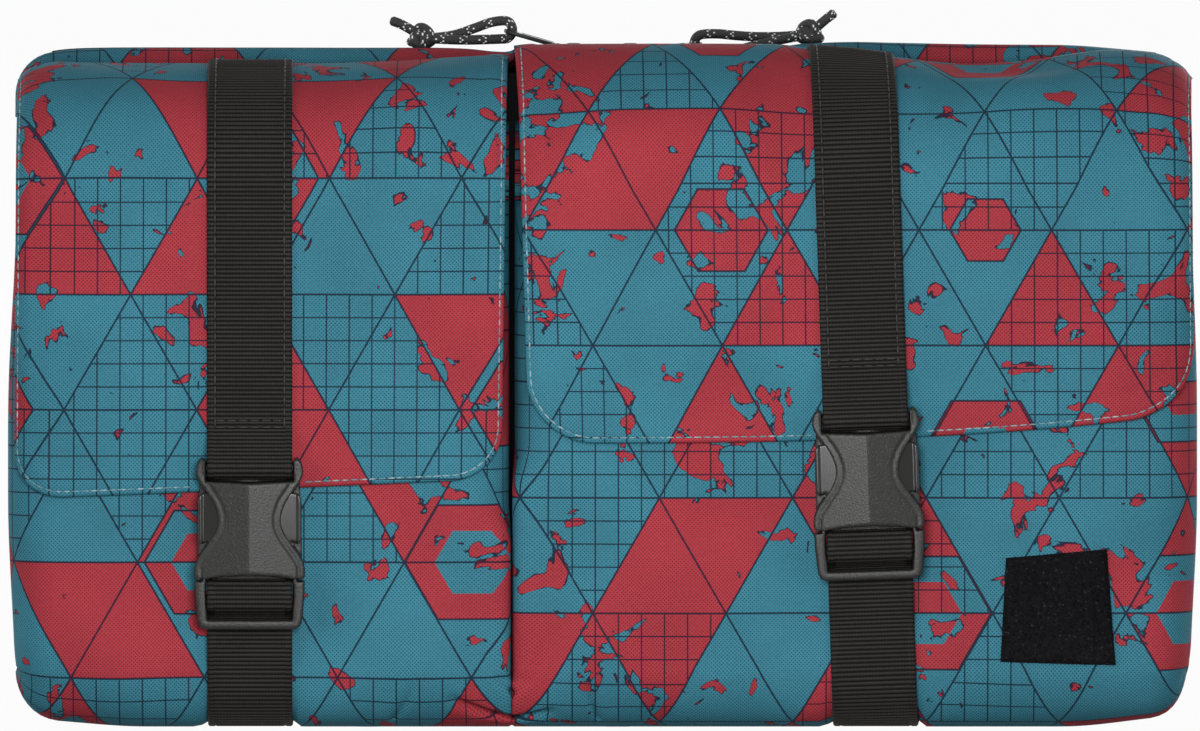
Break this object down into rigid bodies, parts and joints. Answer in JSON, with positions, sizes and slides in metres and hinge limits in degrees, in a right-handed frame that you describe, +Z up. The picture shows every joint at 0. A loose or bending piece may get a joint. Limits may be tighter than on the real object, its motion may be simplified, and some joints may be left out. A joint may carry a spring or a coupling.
{
  "type": "crossbody bag",
  "caption": "Boxy zipped crossbody bag with flapped front pockets closed by webbing straps and side-release buckles, and strap rings on the back.",
  "frame": {"origin": "on the ground under the main compartment, midway between the sides", "axes": "+X to the bag's right as seen from the front, -Y out of the pockets, +Z up"},
  "size_m": [0.349, 0.1254, 0.2091],
  "materials": {
    "printed_cloth": "printed polyester weave",
    "lining_cloth": "plain weave",
    "back_mesh": "padded air mesh",
    "webbing": "ribbed webbing",
    "buckle_plastic": "grained moulded plastic",
    "slider_metal": "black enamel",
    "zip_chain": "nylon coil",
    "pull_cord": "braided cord with pale flecks",
    "loop_fuzz": "napped loop pile"
  },
  "bodies": {
    "bag": {"main_front_panel": "lining_cloth", "back_panel": "back_mesh", "main_gusset": "printed_cloth", "zip_strip_front": "printed_cloth", "zip_strip_rear": "printed_cloth", "zip_chain_front": "zip_chain", "zip_chain_rear": "zip_chain", "zip_end_left": "printed_cloth", "zip_end_right": "printed_cloth", "left_pocket_wrap": "printed_cloth", "left_pocket_gusset_left": "printed_cloth", "left_pocket_gusset_right": "printed_cloth", "left_flap": "printed_cloth", "left_flap_webbing": "webbing", "left_lower_webbing": "webbing", "left_buckle_socket": "buckle_plastic", "left_buckle_plug": "buckle_plastic", "right_pocket_wrap": "printed_cloth", "right_pocket_gusset_left": "printed_cloth", "right_pocket_gusset_right": "printed_cloth", "right_flap": "printed_cloth", "right_flap_webbing": "webbing", "right_lower_webbing": "webbing", "right_buckle_socket": "buckle_plastic", "right_buckle_plug": "buckle_plastic", "loop_patch": "loop_fuzz", "strap_tab_left": "webbing", "strap_tab_right": "webbing"},
    "slider_left": {"zip_slider_left": "slider_metal"},
    "slider_right": {"zip_slider_right": "slider_metal"},
    "pull_left": {"pull_tab_left": "slider_metal", "pull_cord_left": "pull_cord", "pull_knot_left": "pull_cord"},
    "pull_right": {"pull_tab_right": "slider_metal", "pull_cord_right": "pull_cord", "pull_knot_right": "pull_cord"},
    "left_arm_left": {"left_buckle_arm_left": "buckle_plastic"},
    "left_arm_right": {"left_buckle_arm_right": "buckle_plastic"},
    "right_arm_left": {"right_buckle_arm_left": "buckle_plastic"},
    "right_arm_right": {"right_buckle_arm_right": "buckle_plastic"},
    "ring_left": {"strap_ring_left": "slider_metal"},
    "ring_right": {"strap_ring_right": "slider_metal"}
  },
  "joints": [
    {"name": "zip_left_slide", "type": "slide", "parent": "bag", "child": "slider_left", "axis": [-1, 0, 0], "range_m": [0, 0.134]},
    {"name": "zip_right_slide", "type": "slide", "parent": "bag", "child": "slider_right", "axis": [1, 0, 0], "range_m": [0, 0.134]},
    {"name": "pull_left_lift", "type": "hinge", "parent": "slider_left", "child": "pull_left", "pos_m": [-0.009, 0.02, 0.1967], "axis": [0, 1, 0], "range_deg": [0, 74]},
    {"name": "pull_right_lift", "type": "hinge", "parent": "slider_right", "child": "pull_right", "pos_m": [0.0078, 0.02, 0.1967], "axis": [0, -1, 0], "range_deg": [0, 85]},
    {"name": "left_arm_left_press", "type": "hinge", "parent": "bag", "child": "left_arm_left", "pos_m": [-0.1153, -0.05891, 0.04969], "axis": [0, 0.9996, -0.0285], "range_deg": [0, 9], "stiffness_Nm_per_rad": 1.2},
    {"name": "left_arm_right_press", "type": "hinge", "parent": "bag", "child": "left_arm_right", "pos_m": [-0.0933, -0.05891, 0.04969], "axis": [0, -0.9996, 0.0285], "range_deg": [0, 9], "stiffness_Nm_per_rad": 1.2},
    {"name": "right_arm_left_press", "type": "hinge", "parent": "bag", "child": "right_arm_left", "pos_m": [0.06686, -0.0585, 0.06392], "axis": [0, 0.9996, -0.0285], "range_deg": [0, 9], "stiffness_Nm_per_rad": 1.2},
    {"name": "right_arm_right_press", "type": "hinge", "parent": "bag", "child": "right_arm_right", "pos_m": [0.08884, -0.05848, 0.06465], "axis": [0, -0.9996, 0.0285], "range_deg": [0, 9], "stiffness_Nm_per_rad": 1.2},
    {"name": "ring_left_swing", "type": "hinge", "parent": "bag", "child": "ring_left", "pos_m": [-0.1485, 0.05795, 0.158], "axis": [1, 0, 0], "range_deg": [0, 140]},
    {"name": "ring_right_swing", "type": "hinge", "parent": "bag", "child": "ring_right", "pos_m": [0.1485, 0.05795, 0.158], "axis": [1, 0, 0], "range_deg": [0, 140]}
  ]
}
